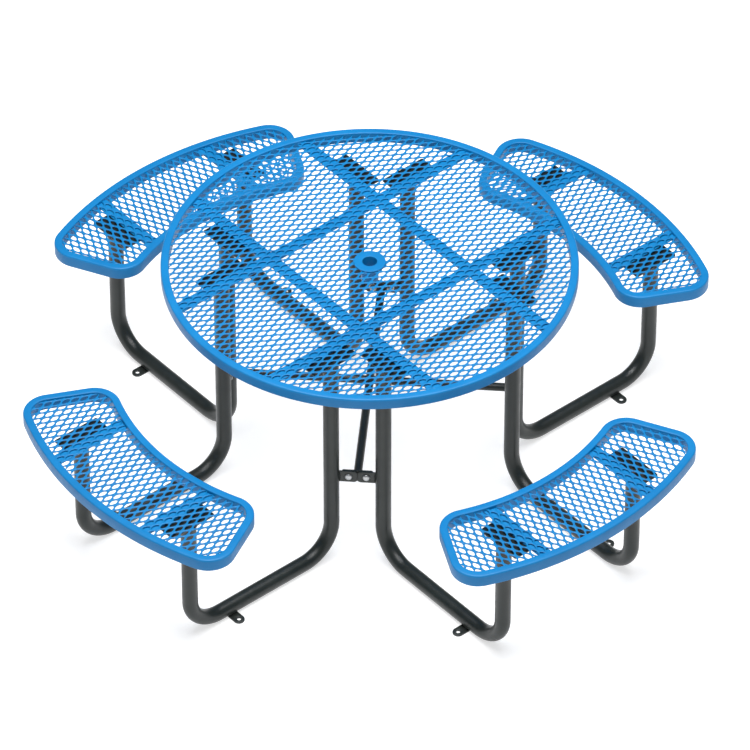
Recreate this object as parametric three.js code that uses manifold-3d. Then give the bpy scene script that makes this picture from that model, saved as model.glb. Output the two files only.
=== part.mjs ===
// Round picnic table with four attached curved seats, in millimetres, +Z up.
// The origin is on the ground under the middle of the table. The seats lie on the +X, -X, +Y and -Y
// sides. Each seat stands on two bent tubes, and each tube is a table leg, a floor run and a seat
// post in one piece. Neighbouring legs of two seats stand in pairs on the diagonals, tied by braces.

import * as THREE from 'three';
import { mergeVertices } from 'three/addons/utils/BufferGeometryUtils.js';
import Module from 'manifold-3d';

const wasm = await Module();
wasm.setup();

// ---- driving dimensions ----

const CLEARANCE = 0.3; // gap between pieces that touch

const TABLE_RADIUS = 584;
const TABLE_HEIGHT = 740;
const TABLE_RIM_DEPTH = 34;
const TABLE_STRAP_Y = 198; // distance of a table strap's middle from the table's middle

const SEAT_HEIGHT = 440;
const SEAT_RIM_DEPTH = 38;
const SEAT_CENTRE_X = 26; // middle of the seat's arcs, towards the seat
const SEAT_INNER_RADIUS = 714;
const SEAT_OUTER_RADIUS = 990;
const SEAT_HALF_ANGLE = THREE.MathUtils.degToRad(27.25);
const SEAT_CORNER_RADIUS = 76;
const SEAT_STRAP_Y = 190;

const RIM_WIDTH = 23;
const RIM_WALL = 4;
const RIM_EDGE_RADIUS = 5;

const SHEET_DROP = 4; // rim top down to the sheet's top
const SHEET_THICKNESS = 6;
const STRAP_WIDTH = 38;
const STRAP_THICKNESS = 5;

const COLLAR_FLANGE_RADIUS = 45;
const COLLAR_FLANGE_THICKNESS = 3.4;
const COLLAR_NECK_RADIUS = 25;
const COLLAR_HOLE_RADIUS = 20.5;
const COLLAR_LENGTH = 64;

const TUBE_RADIUS = 22.25;
const TUBE_WALL = 3;
const TUBE_BEND_RADIUS = 102;
const LEG_X = 341;
const POST_X = 851.5;
const TUBE_Y = 238;

const PLATE_LENGTH = 150;
const PLATE_THICKNESS = 5;
const PLATE_INNER_Y = 184;
const PLATE_OUTER_Y = 262;
const PLATE_CORNER_RADIUS = 6;
const PLATE_BOLT_SPACING = 100;
const PLATE_HOLE_RADIUS = 5.3;

const TAB_X = 713;
const TAB_HOLE_REACH = 42; // tube's middle to the middle of the tab's hole
const TAB_HALF_WIDTH = 16;
const TAB_THICKNESS = 5;
const TAB_HOLE_RADIUS = 6;
const TAB_ROOT = 10; // tube's middle to the end of the tab that is welded under the tube

const TIE_HEIGHT = 298; // middle of the ears and braces
const EAR_HEIGHT = 38;
const EAR_THICKNESS = 5;
const EAR_CORNER_RADIUS = 9;
const TIE_BOLT_REACH = 25; // middle of a leg pair to each bolt
const END_PLATE_WIDTH = 88;
const END_PLATE_HEIGHT = 38;
const END_PLATE_THICKNESS = 5;
const BRACE_RADIUS = 12;

const BOLT_RADIUS = 5;
const BOLT_HOLE_RADIUS = 5.5;
const BOLT_DOME_RADIUS = 10.5;
const BOLT_DOME_HEIGHT = 5.5;
const NUT_RADIUS = 9.5;
const NUT_THICKNESS = 8;
const BOLT_TAIL = 4;

const OUTER_SIDES = 12;
const INNER_SIDES = 8;
const BOLT_SIDES = 8;
const ROUND_SIDES = 12;
const RIM_SIDES = 56;
const BEND_STEPS = 4;
const OUTLINE_SEGMENTS = 3; // half the straight stretches in each arc of an outline
const SMALL_CORNER_SEGMENTS = 1;

const QUARTER_TURN = Math.PI / 2;
const EIGHTH_TURN = Math.PI / 4;

// ---- sizes that follow from them ----

const SHEET_INSET = RIM_WIDTH + CLEARANCE;
const LEG_PAIR_X = Math.hypot(LEG_X + TUBE_Y, LEG_X + TUBE_Y) / 2; // along the diagonal
const LEG_PAIR_Y = Math.hypot(LEG_X - TUBE_Y, LEG_X - TUBE_Y) / 2; // across the diagonal

function levelsUnder(top) {
  const sheetTop = top - SHEET_DROP;
  const sheetBottom = sheetTop - SHEET_THICKNESS;
  const strapTop = sheetBottom - CLEARANCE;
  const strapBottom = strapTop - STRAP_THICKNESS;
  const plateTop = strapBottom - CLEARANCE;
  const plateBottom = plateTop - PLATE_THICKNESS;
  const tubeTop = plateBottom - CLEARANCE;
  return { sheetTop, sheetBottom, strapTop, strapBottom, plateTop, plateBottom, tubeTop };
}

const TABLE_LEVELS = levelsUnder(TABLE_HEIGHT);
const SEAT_LEVELS = levelsUnder(SEAT_HEIGHT);

// ---- materials ----

function coating(color, roughness, metalness) {
  return new THREE.MeshStandardMaterial({ color, roughness, metalness });
}

const BLUE = coating(0x1f86dc, 0.45, 0);
const CHARCOAL = coating(0x3a3f3e, 0.4, 0.2);
const ZINC = coating(0xb9bdbf, 0.35, 0.9);

// ---- solids: join and cut ----

function toSolid(geometry) {
  const plain = geometry.clone();
  plain.deleteAttribute('normal');
  plain.deleteAttribute('uv');
  const merged = mergeVertices(plain, 1e-4);
  return new wasm.Manifold(new wasm.Mesh({
    numProp: 3,
    vertProperties: new Float32Array(merged.attributes.position.array),
    triVerts: new Uint32Array(merged.index.array),
  }));
}

function toGeometry(solid) {
  const mesh = solid.getMesh();
  const geometry = new THREE.BufferGeometry();
  geometry.setAttribute('position', new THREE.BufferAttribute(mesh.vertProperties, 3));
  geometry.setIndex(new THREE.BufferAttribute(mesh.triVerts, 1));
  return geometry;
}

function join(...geometries) {
  return toGeometry(geometries.map(toSolid).reduce((whole, next) => whole.add(next)));
}

function cut(geometry, ...cutters) {
  const whole = toSolid(geometry);
  return toGeometry(cutters.map(toSolid).reduce((left, cutter) => left.subtract(cutter), whole));
}

function keepInside(geometry, limit) {
  return toGeometry(toSolid(geometry).intersect(toSolid(limit)));
}

// ---- simple shapes ----

function box(lowX, lowY, lowZ, highX, highY, highZ) {
  const geometry = new THREE.BoxGeometry(highX - lowX, highY - lowY, highZ - lowZ);
  return geometry.translate((lowX + highX) / 2, (lowY + highY) / 2, (lowZ + highZ) / 2);
}

function rod(radius, length, sides = ROUND_SIDES) {
  return new THREE.CylinderGeometry(radius, radius, length, sides).rotateX(QUARTER_TURN);
}

function slab(shape, lowZ, highZ, segments = OUTLINE_SEGMENTS) {
  const options = { depth: highZ - lowZ, bevelEnabled: false, curveSegments: segments };
  return new THREE.ExtrudeGeometry(shape, options).translate(0, 0, lowZ);
}

function revolve(points, sides) {
  const profile = points.map(([radius, z]) => new THREE.Vector2(radius, z));
  return new THREE.LatheGeometry(profile, sides).rotateX(QUARTER_TURN);
}

// A rectangle with rounded corners, between two opposite corners.
function roundedRectangle(lowX, lowY, highX, highY, radius) {
  const shape = new THREE.Shape();
  shape.absarc(highX - radius, highY - radius, radius, 0, QUARTER_TURN);
  shape.absarc(lowX + radius, highY - radius, radius, QUARTER_TURN, 2 * QUARTER_TURN);
  shape.absarc(lowX + radius, lowY + radius, radius, 2 * QUARTER_TURN, 3 * QUARTER_TURN);
  shape.absarc(highX - radius, lowY + radius, radius, 3 * QUARTER_TURN, 4 * QUARTER_TURN);
  return shape;
}

// The corners of a regular polygon, counted anticlockwise from the direction start.
function ring(radius, sides, start = 0) {
  const corner = (_, side) => {
    const turn = start + 2 * Math.PI * side / sides;
    return new THREE.Vector2(radius * Math.cos(turn), radius * Math.sin(turn));
  };
  return Array.from({ length: sides }, corner);
}

// A regular polygon with a flat on each axis; reach is the distance from its middle to its flats.
function flatSidedRing(reach, sides) {
  const half = Math.PI / sides;
  return ring(reach / Math.cos(half), sides, half);
}

function addHole(shape, x, y, radius, sides = INNER_SIDES) {
  const points = flatSidedRing(radius, sides).map((point) => point.add(new THREE.Vector2(x, y)));
  shape.holes.push(new THREE.Path(points.reverse()));
}

// ---- table top ----

// The rim is a rolled channel with its open side down. Its upper outer edge is rounded.
function tableRim() {
  const top = TABLE_HEIGHT;
  const bottom = top - TABLE_RIM_DEPTH;
  const outer = TABLE_RADIUS;
  const inner = outer - RIM_WIDTH;
  const edge = RIM_EDGE_RADIUS;
  const bevel = edge * (1 - Math.SQRT1_2);
  return revolve([
    [outer, bottom],
    [outer, top - edge],
    [outer - bevel, top - bevel],
    [outer - edge, top],
    [inner, top],
    [inner, bottom],
    [inner + RIM_WALL, bottom],
    [inner + RIM_WALL, top - RIM_WALL],
    [outer - RIM_WALL, top - RIM_WALL],
    [outer - RIM_WALL, bottom],
    [outer, bottom],
  ], RIM_SIDES);
}

// The expanded metal's outer shape: a disc with a hole for the umbrella collar.
function tableSheet() {
  const shape = new THREE.Shape(ring(TABLE_RADIUS - SHEET_INSET, RIM_SIDES));
  addHole(shape, 0, 0, COLLAR_NECK_RADIUS + 1, 2 * ROUND_SIDES);
  return slab(shape, TABLE_LEVELS.sheetBottom, TABLE_LEVELS.sheetTop);
}

function umbrellaCollar() {
  const flangeBottom = TABLE_LEVELS.sheetTop + CLEARANCE;
  const top = flangeBottom + COLLAR_FLANGE_THICKNESS;
  const neckBottom = top - COLLAR_LENGTH;
  return revolve([
    [COLLAR_HOLE_RADIUS, neckBottom],
    [COLLAR_NECK_RADIUS, neckBottom],
    [COLLAR_NECK_RADIUS, flangeBottom],
    [COLLAR_FLANGE_RADIUS, flangeBottom],
    [COLLAR_FLANGE_RADIUS, top],
    [COLLAR_HOLE_RADIUS, top],
    [COLLAR_HOLE_RADIUS, neckBottom],
  ], 2 * ROUND_SIDES);
}

function strapBar(y, levels) {
  const half = STRAP_WIDTH / 2;
  const reach = SEAT_OUTER_RADIUS;
  const bar = box(-reach, y - half, levels.strapBottom, reach, y + half, levels.strapTop);
  return cut(bar, ...boltHoles(y, levels.strapBottom, levels.strapTop));
}

// Bolt holes through a strap and the plates under it, at the table legs or at the seat posts.
function boltHoles(y, lowZ, highZ) {
  const middle = (lowZ + highZ) / 2;
  const depth = highZ - lowZ + 2;
  const holes = [];
  for (const station of [LEG_X, -LEG_X, POST_X]) {
    for (const side of [-1, 1]) {
      const x = station + side * PLATE_BOLT_SPACING / 2;
      holes.push(rod(PLATE_HOLE_RADIUS, depth, INNER_SIDES).translate(x, y, middle));
    }
  }
  return holes;
}

// A strap runs along X across the table, notched halfway where the two straps along Y cross it.
function tableStrap(y, notchedFromBelow) {
  const inside = rod(TABLE_RADIUS - SHEET_INSET, 2 * TABLE_HEIGHT, RIM_SIDES);
  const middle = (TABLE_LEVELS.strapTop + TABLE_LEVELS.strapBottom) / 2;
  const notchEdge = notchedFromBelow ? middle + CLEARANCE / 2 : middle - CLEARANCE / 2;
  const below = TABLE_LEVELS.strapBottom - 1;
  const above = TABLE_LEVELS.strapTop + 1;
  const half = STRAP_WIDTH / 2 + CLEARANCE;
  const notches = [-TABLE_STRAP_Y, TABLE_STRAP_Y].map((x) => box(
    x - half, y - STRAP_WIDTH, notchedFromBelow ? below : notchEdge,
    x + half, y + STRAP_WIDTH, notchedFromBelow ? notchEdge : above,
  ));
  return cut(keepInside(strapBar(y, TABLE_LEVELS), inside), ...notches);
}

// ---- seats: the seat on the +X side ----

// The seat's outline, inset evenly: two arcs about one middle, joined by straight ends that point
// at that middle, with rounded corners.
function seatOutline(inset) {
  const middle = new THREE.Vector2(SEAT_CENTRE_X, 0);
  const corner = SEAT_CORNER_RADIUS;
  const outerReach = SEAT_OUTER_RADIUS - corner;
  const innerReach = SEAT_INNER_RADIUS + corner;
  const outerTurn = SEAT_HALF_ANGLE - Math.asin(corner / outerReach);
  const innerTurn = SEAT_HALF_ANGLE - Math.asin(corner / innerReach);
  const endTurn = SEAT_HALF_ANGLE + QUARTER_TURN;
  const radius = corner - inset;
  const shape = new THREE.Shape();
  const cornerArc = (reach, turn, from, to) => {
    const x = middle.x + reach * Math.cos(turn);
    const y = middle.y + reach * Math.sin(turn);
    shape.absarc(x, y, radius, from, to);
  };
  shape.absarc(middle.x, middle.y, SEAT_OUTER_RADIUS - inset, -outerTurn, outerTurn);
  cornerArc(outerReach, outerTurn, outerTurn, endTurn);
  cornerArc(innerReach, innerTurn, endTurn, innerTurn + Math.PI);
  shape.absarc(middle.x, middle.y, SEAT_INNER_RADIUS + inset, innerTurn, -innerTurn, true);
  cornerArc(innerReach, -innerTurn, Math.PI - innerTurn, 2 * Math.PI - endTurn);
  cornerArc(outerReach, -outerTurn, -endTurn, -outerTurn);
  return shape;
}

function seatRing(outerInset, innerInset, lowZ, highZ) {
  const ring = seatOutline(outerInset);
  ring.holes.push(new THREE.Path(seatOutline(innerInset).getPoints(OUTLINE_SEGMENTS)));
  return slab(ring, lowZ, highZ);
}

function seatRim() {
  const bottom = SEAT_HEIGHT - SEAT_RIM_DEPTH;
  const bar = seatRing(0, RIM_WIDTH, bottom, SEAT_HEIGHT);
  const channel = seatRing(RIM_WALL, RIM_WIDTH - RIM_WALL, bottom - 1, SEAT_HEIGHT - RIM_WALL);
  return cut(bar, channel);
}

function seatSheet() {
  return slab(seatOutline(SHEET_INSET), SEAT_LEVELS.sheetBottom, SEAT_LEVELS.sheetTop);
}

function seatStrap(y) {
  const inside = slab(seatOutline(SHEET_INSET), 0, SEAT_HEIGHT);
  return keepInside(strapBar(y, SEAT_LEVELS), inside);
}

// ---- tubes, plates, ears and tabs ----

// The middle line of a bent tube in the XZ plane: down the leg, along the floor and up the post.
// The parameter moves on by one step for each straight stretch and each step of a bend.
class TubeRoute extends THREE.Curve {
  constructor() {
    super();
    this.stretches = 2 * BEND_STEPS + 3;
  }

  getUtoTmapping(u) {
    return u;
  }

  getPoint(t) {
    const bend = TUBE_BEND_RADIUS;
    const floor = TUBE_RADIUS;
    const step = t * this.stretches;
    const legEnd = new THREE.Vector3(LEG_X, 0, floor + bend);
    const postStart = new THREE.Vector3(POST_X, 0, floor + bend);
    const firstBendEnd = 1 + BEND_STEPS;
    const secondBendEnd = 2 + 2 * BEND_STEPS;
    if (step <= 1) {
      return new THREE.Vector3(LEG_X, 0, TABLE_LEVELS.tubeTop).lerp(legEnd, step);
    }
    if (step <= firstBendEnd) {
      const turn = (step - 1) / BEND_STEPS * QUARTER_TURN;
      return new THREE.Vector3(bend * (1 - Math.cos(turn)), 0, -bend * Math.sin(turn)).add(legEnd);
    }
    if (step <= firstBendEnd + 1) {
      const from = new THREE.Vector3(LEG_X + bend, 0, floor);
      return from.lerp(new THREE.Vector3(POST_X - bend, 0, floor), step - firstBendEnd);
    }
    if (step <= secondBendEnd) {
      const turn = (step - firstBendEnd - 1) / BEND_STEPS * QUARTER_TURN;
      return new THREE.Vector3(-bend * (1 - Math.sin(turn)), 0, -bend * Math.cos(turn)).add(postStart);
    }
    return postStart.lerp(new THREE.Vector3(POST_X, 0, SEAT_LEVELS.tubeTop), step - secondBendEnd);
  }
}

function bentTube() {
  const route = new TubeRoute();
  const section = new THREE.Shape(flatSidedRing(TUBE_RADIUS, OUTER_SIDES));
  section.holes.push(new THREE.Path(flatSidedRing(TUBE_RADIUS - TUBE_WALL, INNER_SIDES).reverse()));
  return new THREE.ExtrudeGeometry(section, { extrudePath: route, steps: route.stretches });
}

// A tab on the floor beside the run, with a round end about its anchor hole. It points along +Y.
function anchorTab() {
  const shape = new THREE.Shape();
  shape.moveTo(TAB_HALF_WIDTH, TAB_ROOT);
  shape.lineTo(TAB_HALF_WIDTH, TAB_HOLE_REACH);
  shape.absarc(0, TAB_HOLE_REACH, TAB_HALF_WIDTH, 0, Math.PI);
  shape.lineTo(-TAB_HALF_WIDTH, TAB_ROOT);
  addHole(shape, 0, TAB_HOLE_REACH, TAB_HOLE_RADIUS);
  return slab(shape, 0, TAB_THICKNESS).translate(TAB_X, 0, 0);
}

// An ear on the leg at the middle of its tube, pointing at the neighbouring leg of the pair.
function ear() {
  const reach = LEG_PAIR_Y - CLEARANCE;
  const root = TUBE_RADIUS - TUBE_WALL / 2;
  const half = EAR_HEIGHT / 2;
  const corner = EAR_CORNER_RADIUS;
  const shape = new THREE.Shape();
  shape.moveTo(root, -half);
  shape.lineTo(reach - corner, -half);
  shape.absarc(reach - corner, corner - half, corner, -QUARTER_TURN, 0);
  shape.absarc(reach - corner, half - corner, corner, 0, QUARTER_TURN);
  shape.lineTo(root, half);
  addHole(shape, LEG_PAIR_Y - TIE_BOLT_REACH, 0, BOLT_HOLE_RADIUS);
  const plate = slab(shape, -EAR_THICKNESS / 2, EAR_THICKNESS / 2, SMALL_CORNER_SEGMENTS);
  const towardsNeighbour = QUARTER_TURN + EIGHTH_TURN;
  return plate.rotateX(QUARTER_TURN).rotateZ(towardsNeighbour).translate(LEG_X, 0, TIE_HEIGHT);
}

// The tube on the +Y side of the +X seat, in its own place, with the ear and the tab welded on.
function legTube() {
  return join(bentTube(), anchorTab(), ear()).translate(0, TUBE_Y, 0);
}

// A plate on top of a leg or post. It reaches inwards under the strap that it is bolted to.
function plate(x, strapY, levels) {
  const half = PLATE_LENGTH / 2;
  const shape = roundedRectangle(x - half, PLATE_INNER_Y, x + half, PLATE_OUTER_Y, PLATE_CORNER_RADIUS);
  const flat = slab(shape, levels.plateBottom, levels.plateTop, SMALL_CORNER_SEGMENTS);
  return cut(flat, ...boltHoles(strapY, levels.plateBottom, levels.plateTop));
}

// ---- braces and tie bolts, along +X before they are turned onto a diagonal ----

function endPlate() {
  const halfWidth = END_PLATE_WIDTH / 2;
  const halfHeight = END_PLATE_HEIGHT / 2;
  const shape = roundedRectangle(-halfWidth, -halfHeight, halfWidth, halfHeight, PLATE_CORNER_RADIUS);
  addHole(shape, TIE_BOLT_REACH, 0, BOLT_HOLE_RADIUS);
  addHole(shape, -TIE_BOLT_REACH, 0, BOLT_HOLE_RADIUS);
  const outerFace = LEG_PAIR_X - EAR_THICKNESS / 2 - CLEARANCE;
  const flat = slab(shape, 0, END_PLATE_THICKNESS, SMALL_CORNER_SEGMENTS);
  const upright = flat.rotateX(QUARTER_TURN).rotateZ(QUARTER_TURN);
  return upright.translate(outerFace - END_PLATE_THICKNESS, 0, TIE_HEIGHT);
}

function braceBar(fromX, toX) {
  const bar = rod(BRACE_RADIUS, toX - fromX).rotateY(QUARTER_TURN);
  return bar.translate((fromX + toX) / 2, 0, TIE_HEIGHT);
}

function braceEnd() {
  return LEG_PAIR_X - EAR_THICKNESS / 2 - CLEARANCE - END_PLATE_THICKNESS / 2;
}

function longBrace() {
  return join(braceBar(-braceEnd(), braceEnd()), endPlate(), endPlate().rotateZ(Math.PI));
}

// Each half of the other brace is coped to fit round the long one.
function halfBrace() {
  const cope = rod(BRACE_RADIUS + CLEARANCE, 8 * BRACE_RADIUS).rotateX(QUARTER_TURN);
  const bar = cut(braceBar(0, braceEnd()), cope.translate(0, 0, TIE_HEIGHT));
  return join(bar, endPlate());
}

// A dome-headed bolt with its nut run on. Its head bears on the ears' outer face at x = 0.
function tieBolt() {
  const grip = EAR_THICKNESS + CLEARANCE + END_PLATE_THICKNESS;
  const tail = grip + CLEARANCE + NUT_THICKNESS + BOLT_TAIL;
  const head = CLEARANCE;
  const bolt = revolve([
    [0, -tail],
    [BOLT_RADIUS, -tail],
    [BOLT_RADIUS, head],
    [BOLT_DOME_RADIUS, head],
    [BOLT_DOME_RADIUS * Math.SQRT1_2, head + BOLT_DOME_HEIGHT * Math.SQRT1_2],
    [0, head + BOLT_DOME_HEIGHT],
  ], BOLT_SIDES);
  const nut = rod(NUT_RADIUS, NUT_THICKNESS, 6).translate(0, 0, -grip - CLEARANCE - NUT_THICKNESS / 2);
  return join(bolt, nut).rotateY(QUARTER_TURN);
}

// ---- assembly ----

const table = new THREE.Group();

function place(parent, name, geometry, material) {
  const mesh = new THREE.Mesh(geometry, material);
  mesh.name = name;
  parent.add(mesh);
  return mesh;
}

function turned(parent, turn) {
  const group = new THREE.Group();
  group.rotation.z = turn;
  parent.add(group);
  return group;
}

function addTableTop() {
  place(table, 'table_rim', tableRim(), BLUE);
  place(table, 'table_sheet', tableSheet(), BLUE);
  place(table, 'umbrella_collar', umbrellaCollar(), BLUE);
  place(table, 'table_strap_x_1', tableStrap(-TABLE_STRAP_Y, true), BLUE);
  place(table, 'table_strap_x_2', tableStrap(TABLE_STRAP_Y, true), BLUE);
  const across = turned(table, QUARTER_TURN);
  place(across, 'table_strap_y_1', tableStrap(-TABLE_STRAP_Y, false), BLUE);
  place(across, 'table_strap_y_2', tableStrap(TABLE_STRAP_Y, false), BLUE);
}

// One seat with its two tubes. Mirrored pieces come from the same functions with y turned over.
function addSeat(number, turn) {
  const side = turned(table, turn);
  place(side, `seat_${number}_rim`, seatRim(), BLUE);
  place(side, `seat_${number}_sheet`, seatSheet(), BLUE);
  place(side, `seat_${number}_strap_a`, seatStrap(-SEAT_STRAP_Y), BLUE);
  place(side, `seat_${number}_strap_b`, seatStrap(SEAT_STRAP_Y), BLUE);
  const tubePieces = {
    leg_tube: legTube(),
    table_plate: plate(LEG_X, TABLE_STRAP_Y, TABLE_LEVELS),
    seat_plate: plate(POST_X, SEAT_STRAP_Y, SEAT_LEVELS),
  };
  for (const [piece, geometry] of Object.entries(tubePieces)) {
    place(side, `${piece}_${number}a`, mirrorY(geometry), CHARCOAL);
    place(side, `${piece}_${number}b`, geometry, CHARCOAL);
  }
}

function mirrorY(geometry) {
  return toGeometry(toSolid(geometry).mirror([0, 1, 0]));
}

function addBraces() {
  place(turned(table, EIGHTH_TURN), 'brace_long', longBrace(), CHARCOAL);
  place(turned(table, 3 * EIGHTH_TURN), 'brace_half_1', halfBrace(), CHARCOAL);
  place(turned(table, 7 * EIGHTH_TURN), 'brace_half_2', halfBrace(), CHARCOAL);
}

function addTieBolts() {
  for (let pair = 1; pair <= 4; pair += 1) {
    const corner = turned(table, (2 * pair - 1) * EIGHTH_TURN);
    for (const [letter, y] of [['a', -TIE_BOLT_REACH], ['b', TIE_BOLT_REACH]]) {
      const bolt = place(corner, `tie_bolt_${pair}${letter}`, tieBolt(), ZINC);
      bolt.position.set(LEG_PAIR_X + EAR_THICKNESS / 2, y, TIE_HEIGHT);
    }
  }
}

addTableTop();
for (let seat = 1; seat <= 4; seat += 1) {
  addSeat(seat, (seat - 1) * QUARTER_TURN);
}
addBraces();
addTieBolts();

export default table;
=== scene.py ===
"""The looks of a round picnic table with four curved seats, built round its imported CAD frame.

Lengths are metres, +Z is up and the ground is z = 0. The seats lie on the +X, +Y, -X and -Y sides
and are numbered 1 to 4 in that order. The pieces of a seat and its two tubes are made on the +X
side, with the tube on the +Y side as the model for both, and are turned and mirrored into place.
"""

import math

import bmesh
import bpy
from mathutils import Matrix, Vector


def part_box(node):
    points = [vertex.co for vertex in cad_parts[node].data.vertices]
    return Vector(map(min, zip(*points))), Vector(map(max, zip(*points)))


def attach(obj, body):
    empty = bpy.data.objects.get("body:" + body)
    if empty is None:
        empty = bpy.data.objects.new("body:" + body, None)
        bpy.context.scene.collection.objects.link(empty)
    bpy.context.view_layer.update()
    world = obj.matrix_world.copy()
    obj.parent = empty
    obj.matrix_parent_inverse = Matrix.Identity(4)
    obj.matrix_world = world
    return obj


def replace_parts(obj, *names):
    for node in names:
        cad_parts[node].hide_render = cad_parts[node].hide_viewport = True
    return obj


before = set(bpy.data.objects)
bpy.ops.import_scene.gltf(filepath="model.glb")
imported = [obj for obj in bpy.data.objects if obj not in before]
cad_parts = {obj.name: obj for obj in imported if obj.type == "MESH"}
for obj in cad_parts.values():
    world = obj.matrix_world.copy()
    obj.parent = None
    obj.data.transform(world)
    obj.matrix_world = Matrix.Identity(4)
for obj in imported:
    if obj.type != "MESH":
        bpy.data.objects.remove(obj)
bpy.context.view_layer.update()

# ---- driving dimensions: from the frame where a node's box gives them ----

def middle(node, axis):
    """The middle of a node's box along one axis."""
    return sum(getattr(corner, axis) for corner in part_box(node)) / 2


QUARTER_TURN = math.pi / 2
EIGHTH_TURN = math.pi / 4
SEATS = range(1, 5)
FIT_GAP = 0.0003  # left between pieces that touch

TABLE_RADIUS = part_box("table_rim")[1].x
TABLE_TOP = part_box("table_rim")[1].z
TABLE_RIM_DEPTH = TABLE_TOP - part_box("table_rim")[0].z
SEAT_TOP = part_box("seat_1_rim")[1].z
SEAT_RIM_DEPTH = SEAT_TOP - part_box("seat_1_rim")[0].z
SEAT_CENTRE_X = 0.026
SEAT_OUTER_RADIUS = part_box("seat_1_rim")[1].x - SEAT_CENTRE_X
SEAT_INNER_RADIUS = 0.714
SEAT_HALF_ANGLE = math.radians(27.25)
SEAT_CORNER_RADIUS = 0.076

RIM_WIDTH = 0.023
RIM_WALL = 0.004
RIM_EDGE_RADIUS = 0.005
RIM_INNER_EDGE_RADIUS = 0.003
RIM_LIP_RADIUS = 0.0018

MESH_LONG_WAY = 0.046  # length of a diamond of the expanded metal, centre to centre
MESH_SHORT_WAY = 0.0235
MESH_KNUCKLE_LONG = 0.0034  # half the length of a knuckle, where four strands meet
MESH_KNUCKLE_SHORT = 0.0014
MESH_THICKNESS = 0.0040
MESH_SLOPE = -0.45  # the strands' tilt, as rise over run the short way
MESH_SINK = 0.003  # how far the strands' ends run into the rim
MESH_SINK_MOST = 0.0036  # how far any point of the mesh may run into it
TABLE_MESH_TURN = math.radians(-6.2)
SEAT_MESH_TURNS = [math.radians(turn) for turn in (0.7, -0.7, 0.3, 2.0)]  # the sheets were cut askew

LEG_X = middle("table_plate_1b", "x")
POST_X = middle("seat_plate_1b", "x")
TUBE_Y = 0.238
TUBE_RADIUS = 0.02225
BEND_RADIUS = 0.102

STRAP_WIDTH = 0.038
STRAP_EDGE_RADIUS = 0.0012
STRAP_REACH_INTO_RIM = 0.001

PLATE_CORNER_RADIUS = 0.006
PLATE_BOLT_SPACING = 0.1
PLATE_HOLE_RADIUS = 0.0053
SHEET_METAL_EDGE = 0.0008

TAB_X = 0.713
TAB_HOLE_REACH = 0.042
TAB_HALF_WIDTH = 0.016
TAB_THICKNESS = 0.005
TAB_HOLE_RADIUS = 0.006
TAB_ROOT = TUBE_RADIUS * 0.5  # where the tab starts inside the tube, out from its middle line

TIE_HEIGHT = middle("brace_long", "z")
PAIR_OUT = (LEG_X + TUBE_Y) / math.sqrt(2)  # a leg pair's distance along its diagonal
PAIR_HALF = abs(LEG_X - TUBE_Y) / math.sqrt(2)  # each leg's distance from the diagonal
EAR_HEIGHT = 0.038
EAR_THICKNESS = 0.005
EAR_CORNER_RADIUS = 0.009
EAR_ROOT = TUBE_RADIUS * 0.9
END_PLATE_WIDTH = 0.088
END_PLATE_HEIGHT = 0.038
END_PLATE_THICKNESS = 0.005
END_PLATE_FACE = PAIR_OUT - EAR_THICKNESS / 2 - FIT_GAP
END_PLATE_BACK = END_PLATE_FACE - END_PLATE_THICKNESS
TIE_BOLT_REACH = 0.025  # each bolt's distance from the middle of its pair
BOLT_HOLE_RADIUS = 0.0055
BRACE_RADIUS = 0.012

BOLT_RADIUS = 0.0048
BOLT_END_CHAMFER = 0.0006
BOLT_END_DEPTH = 0.0005  # under the top of the strap that the bolt is screwed into
DOME_RADIUS = 0.0105
DOME_HEIGHT = 0.0055
DOME_SKIRT = 0.0008  # the straight edge under the dome
DOME_TIP_RADIUS = DOME_RADIUS * 0.02
NUT_ACROSS_CORNERS = 0.019
NUT_THICKNESS = 0.008
BOLT_HEAD_THICKNESS = NUT_THICKNESS * 0.75
HEXAGON_CHAMFER = 0.0008
WASHER_RADIUS = 0.0115
WASHER_THICKNESS = 0.0016
WASHER_EDGE_RADIUS = 0.0002
WASHER_UPPER_EDGE_RADIUS = 0.0005
THREAD_PITCH = 0.0015
THREAD_DEPTH = THREAD_PITCH * 0.4
THREAD_TAIL = 0.004  # how far a tie bolt stands out of its nut
THREAD_REACH_INTO_HEAD = 0.0005

COLLAR_FLANGE_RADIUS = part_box("umbrella_collar")[1].x
COLLAR_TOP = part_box("umbrella_collar")[1].z
COLLAR_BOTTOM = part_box("umbrella_collar")[0].z
COLLAR_FLANGE_THICKNESS = 0.0034
COLLAR_NECK_RADIUS = 0.025
COLLAR_HOLE_RADIUS = 0.0205
COLLAR_EDGE_RADIUS = 0.001
COLLAR_TOP_EDGE_RADIUS = 0.0016

WELD_RADIUS = 0.0032
WELD_STAND_OFF = WELD_RADIUS / 3  # from the corner that a round bead fills to the bead's middle
WELD_RIPPLE = 0.12
WELD_RIPPLE_LENGTH = 0.0032
WELD_STEPS_PER_RIPPLE = 4
WELD_LEAST_STEPS = 8
WELD_END_POWER = 6  # the higher, the blunter a bead's ends
WELD_END_LEAST = 0.05

TABLE_SIDES = 256
COLLAR_SIDES = 96
TUBE_SIDES = 48
ROUND_SIDES = 32
HOLE_SIDES = 28
BOLT_SIDES = 24
WELD_SIDES = 8
ARC_STEPS = 16
TAB_END_STEPS = 24
EAR_CORNER_STEPS = 8
DOME_STEPS = 8


# ---- outlines, as lists of 2-D points ----

def arc(centre_x, centre_y, radius, start, end, steps):
    """Points along an arc, both ends included."""
    angles = [start + (end - start) * step / steps for step in range(steps + 1)]
    return [(centre_x + radius * math.cos(a), centre_y + radius * math.sin(a)) for a in angles]


def circle(radius, steps, centre_x=0.0, centre_y=0.0):
    return arc(centre_x, centre_y, radius, 0, 2 * math.pi, steps)[:-1]


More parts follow.
